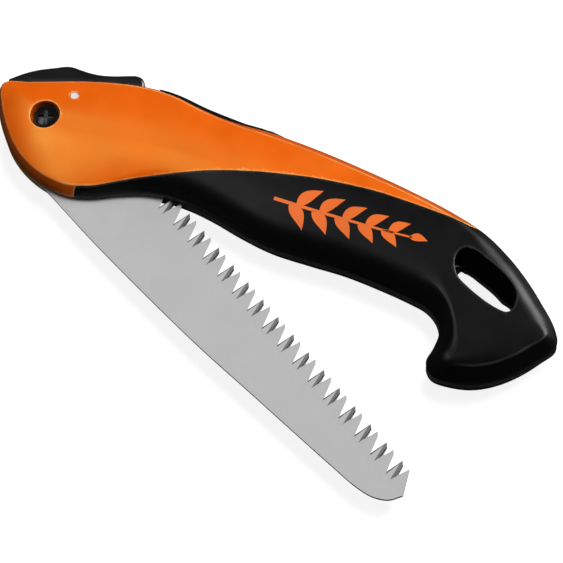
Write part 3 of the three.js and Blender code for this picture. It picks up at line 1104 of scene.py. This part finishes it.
def steel(name, colour, painted_edge_colour, roughness, metallic, stretch=(1, 1, 1), turn=0, bump=0.1, **extra):
    """Metal with a fine grain, which stretch draws out into grinding lines, and sharp edges tinted
    towards the second colour as painted edge light and shade.
    """
    material = new_material(name, colour, roughness, metallic, **extra)
    nodes = Nodes(material)
    lines = nodes.noise(2200, 3, stretch, turn)
    darker = tuple(c * 0.9 for c in colour)
    base = nodes.blend(nodes.ranged(lines, 0, 1, 0.3, 0.7), darker, colour)
    # Sharp edges turn towards the second colour: a painted highlight where it is paler, a painted shade
    # line where it is darker.
    edge = nodes.times(nodes.painted_edge_share(), nodes.ranged(nodes.noise(300, 2), 0.4, 0.9))
    nodes.link(nodes.blend(edge, base, painted_edge_colour), nodes.shader.inputs["Base Color"])
    rough = nodes.ranged(nodes.noise(60, 3), roughness - 0.05, roughness + 0.06)
    nodes.link(rough, nodes.shader.inputs["Roughness"])
    nodes.bump(lines, bump, 0.00002)
    return material


def grey(value):
    return (value, value, value)


def make_looks():
    across = (0.12, 4, 1)  # the grinding lines run across the blade
    # Each look's second colour is its painted edge colour: paler for a painted highlight, darker on the
    # blade steels for a painted shade line.
    return {
        "orange": plastic("orange_plastic", (0.84, 0.118, 0.002), (1.0, 0.4, 0.12), 0.36, 2600, 0.06,
                          Specular_IOR_Level=1.0, Specular_Tint=(0.8, 1.0, 0.2, 1)),
        "rubber": plastic("black_overmould", (0.002, 0.002, 0.0022), grey(0.03), 0.38, 3800, 0.12,
                          Specular_IOR_Level=0.2),
        "plastic": plastic("black_plastic", (0.004, 0.004, 0.0045), grey(0.012), 0.36, 3000, 0.08),
        # A lighter grey on the slot face: painted light, not the grip's own black.
        "slot_painted_light": plastic("slot_face_painted_light", grey(0.3), grey(0.3), 0.6, 3000, 0.08),
        "mark": plastic("orange_mark", (0.8, 0.14, 0.006), (0.8, 0.14, 0.006), 0.4, 2600, 0.05),
        "blade": steel("blade_steel", grey(0.53), grey(0.48), 0.55, 0.25, across, BLADE_ANGLE),
        # The ground tooth faces are painted darker grey: painted shade for their tilt.
        "ground": steel("ground_steel_painted_shade", grey(0.17), grey(0.12), 0.5, 0.2, across, BLADE_ANGLE + 0.5),
        # Dark grey on the blade's narrow edge: a painted shade line.
        "edge": steel("blade_edge_painted_shade", grey(0.08), grey(0.08), 0.5, 0.3),
        "black_steel": steel("black_steel", grey(0.006), grey(0.06), 0.26, 0.4),
        "bright": steel("bright_steel", (0.7, 0.73, 0.78), grey(0.85), 0.35, 0.35),
        # The tang edge's near-white at low metallic: a painted highlight.
        "rim": steel("tang_edge_painted_highlight", (0.95, 0.96, 0.98), grey(0.98), 0.35, 0.1),
        "acetal": plastic("slip_washer", (0.7, 0.68, 0.62), (0.75, 0.73, 0.68), 0.5, 2600, 0.05),
    }


def dress_cad(look):
    """Gives the CAD nodes that stay their materials."""
    names = {
        "backbone": "plastic", "pivot_sleeve": "bright", "upper_washer": "acetal",
        "lower_washer": "acetal", "screw_washer": "black_steel", "pivot_nut": "black_steel",
        "stop_pin": "bright", "catch_pin": "bright", "lever_pin": "bright", "lever_spring": "bright",
    }
    for i in range(4):
        names["case_screw_%d" % (i + 1)] = "black_steel"
    for node, key in names.items():
        data = bpy.data.objects[node].data
        data.materials.clear()
        data.materials.append(look[key])


# ---------------------------------------------------------------- stage
def area_light(name, place, target, size, power):
    data = bpy.data.lights.new(name, "AREA")
    data.shape = "RECTANGLE"
    data.size, data.size_y = size
    data.energy = power
    lamp = add_object(name, data)
    look = Vector(target) - Vector(place)
    lamp.rotation_euler = look.to_track_quat("-Z", "Y").to_euler()
    lamp.location = place
    return lamp


def make_floor():
    """A pale floor, left out of reflections and bounced light so that dark walls stay dark."""
    mesh = bpy.data.meshes.new("floor")
    mesh.from_pydata([(-4, -4, 0), (4, -4, 0), (4, 4, 0), (-4, 4, 0)], [], [(0, 1, 2, 3)])
    floor = add_object("floor", mesh)
    mesh.materials.append(new_material("floor", (0.3, 0.3, 0.3), 0.9, Emission_Strength=0.88,
                                       Emission_Color=(1, 1, 1, 1)))
    floor.visible_diffuse = False
    floor.visible_glossy = False


def make_world():
    world = bpy.data.worlds.new("studio")
    bpy.context.scene.world = world
    world.use_nodes = True
    world.node_tree.nodes["Background"].inputs["Color"].default_value = (1, 1, 1, 1)
    world.node_tree.nodes["Background"].inputs["Strength"].default_value = 0.04


def make_lights():
    """The key and the fill light the colours; the others are seen only in reflections."""
    key = area_light("key_softbox", (0.24, 0.62, 1.42), (0, 0, 0), (0.85, 0.85), 29)
    fill = area_light("fill_softbox", (-0.5, -1.2, 0.8), (0, 0, 0), (1.0, 0.6), 0.3)
    for lamp in (key, fill):
        lamp.visible_glossy = False
    top = area_light("top_softbox", (-0.64, 0.02, 1.3), (-0.64, 0.02, 0), (0.44, 0.84), 5.6)
    back = area_light("back_softbox", (-0.24, 0.55, 1.3), (-0.24, 0.55, 0), (0.36, 0.5), 0.26)
    ridge = area_light("ridge_strip", (0.95, 1.4, 0.5), (0.09, 0, 0), (1.2, 1.0), 60)
    for lamp in (top, back, ridge):
        lamp.visible_diffuse = False


def main():
    bpy.context.scene.view_settings.view_transform = "Standard"
    make_camera()
    make_floor()
    make_world()
    make_lights()
    look = make_looks()
    make_handle(look)
    make_blade(look)
    make_emblem(look)
    make_back_pad(look)
    make_lever(look)
    make_screw(look)
    dress_cad(look)


main()
